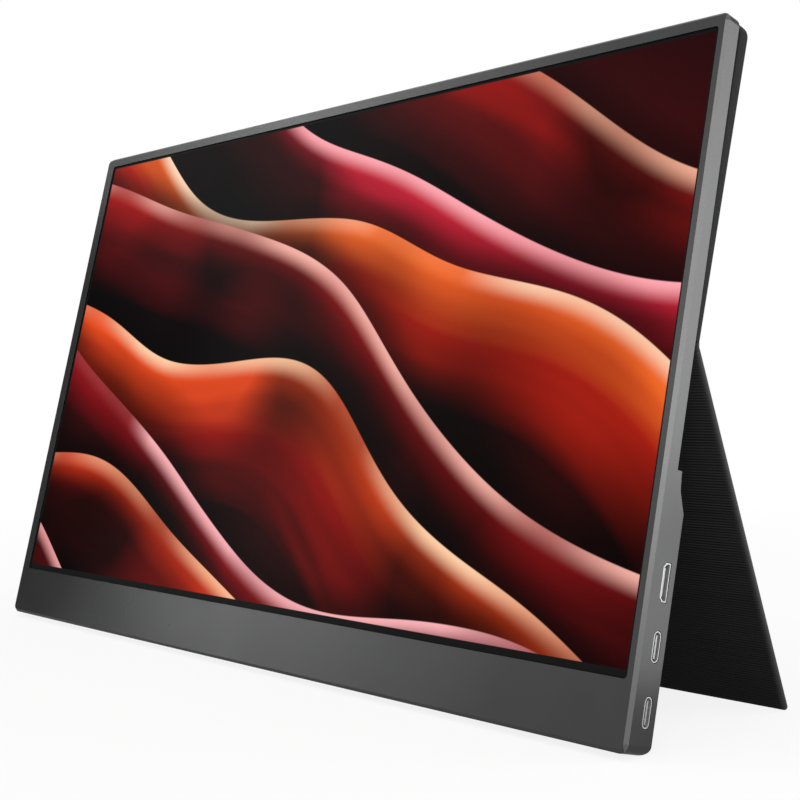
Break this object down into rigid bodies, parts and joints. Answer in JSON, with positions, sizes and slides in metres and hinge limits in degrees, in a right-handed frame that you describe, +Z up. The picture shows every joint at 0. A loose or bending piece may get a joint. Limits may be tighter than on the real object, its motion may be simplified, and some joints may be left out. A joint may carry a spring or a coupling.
{
  "type": "portable monitor",
  "caption": "Slim portable monitor leaning back on the folded leg of its magnetic cover, with a dark metal housing, a wide chin and sockets low on one side.",
  "frame": {"origin": "on the desk, at the middle of the footprint between the monitor's rear lower edge and the leg's foot", "axes": "+X across to the side with the sockets, +Y from the screen to the back, +Z up"},
  "size_m": [0.3566, 0.085, 0.2171],
  "materials": {
    "dark_aluminium": "fine-blasted dark grey anodised aluminium",
    "screen": "glossy lit panel with a black border",
    "black_foam": "matt foam tape",
    "white_film": "satin film",
    "clear_acrylic": "clear acrylic plate",
    "steel": "thin pressed steel",
    "socket_steel": "drawn nickel-plated shell",
    "led_strip": "white strip with lamps",
    "circuit_board": "green solder mask",
    "socket_tongue": "pale moulded plastic with plated contacts",
    "black_plastic": "moulded plastic",
    "ribbon": "flat flexible ribbon",
    "cover_skin": "fine-grained synthetic leather",
    "cover_board": "grey board",
    "cover_lining": "fine ribbed microfibre",
    "magnet": "nickel-plated bar magnets"
  },
  "bodies": {
    "monitor": {"front_bezel": "dark_aluminium", "rear_housing": "dark_aluminium", "screen_gasket": "black_foam", "lcd_cell": "screen", "diffuser_sheet": "white_film", "light_guide": "clear_acrylic", "reflector_sheet": "white_film", "panel_tray": "steel", "led_bar": "led_strip", "panel_tape": "black_foam", "keeper_plates": "steel", "main_board": "circuit_board", "button_board": "circuit_board", "timing_board": "circuit_board", "scaler_chip": "black_plastic", "shield_can": "steel", "power_coils": "black_plastic", "board_screws": "steel", "display_ribbon": "ribbon", "button_ribbon": "ribbon", "upper_usb_shell": "socket_steel", "upper_usb_tongue": "socket_tongue", "lower_usb_shell": "socket_steel", "lower_usb_tongue": "socket_tongue", "hdmi_shell": "socket_steel", "hdmi_tongue": "socket_tongue", "power_switch": "black_plastic", "wheel_switch": "black_plastic", "headphone_jack": "black_plastic", "left_speaker": "black_plastic", "right_speaker": "black_plastic"},
    "cover": {"upper_skin": "cover_skin", "upper_stiffener": "cover_board", "upper_lining": "cover_lining", "fold_strip": "cover_skin", "magnet_pad": "cover_lining", "cover_magnets": "magnet"},
    "leg": {"leg_skin": "cover_skin", "leg_stiffener": "cover_board", "leg_lining": "cover_lining"},
    "power_key": {"power_button": "dark_aluminium", "power_plunger": "black_plastic"},
    "menu_dial": {"menu_wheel": "black_plastic"}
  },
  "joints": [
    {"name": "cover_release", "type": "slide", "parent": "monitor", "child": "cover", "axis": [0, 1, 0], "range_m": [0, 0.08]},
    {"name": "leg_fold", "type": "hinge", "parent": "cover", "child": "leg", "pos_m": [0, -0.00502, 0.11565], "axis": [1, 0, 0], "range_deg": [-29.7, 68.5]},
    {"name": "power_press", "type": "slide", "parent": "monitor", "child": "power_key", "axis": [1, 0, 0], "range_m": [0, 0.0004], "stiffness_N_per_m": 2000},
    {"name": "menu_turn", "type": "hinge", "parent": "monitor", "child": "menu_dial", "pos_m": [-0.1739, -0.02585, 0.03716], "axis": [0, 0.969, -0.247], "range_deg": [-18, 18], "stiffness_Nm_per_rad": 0.02}
  ]
}
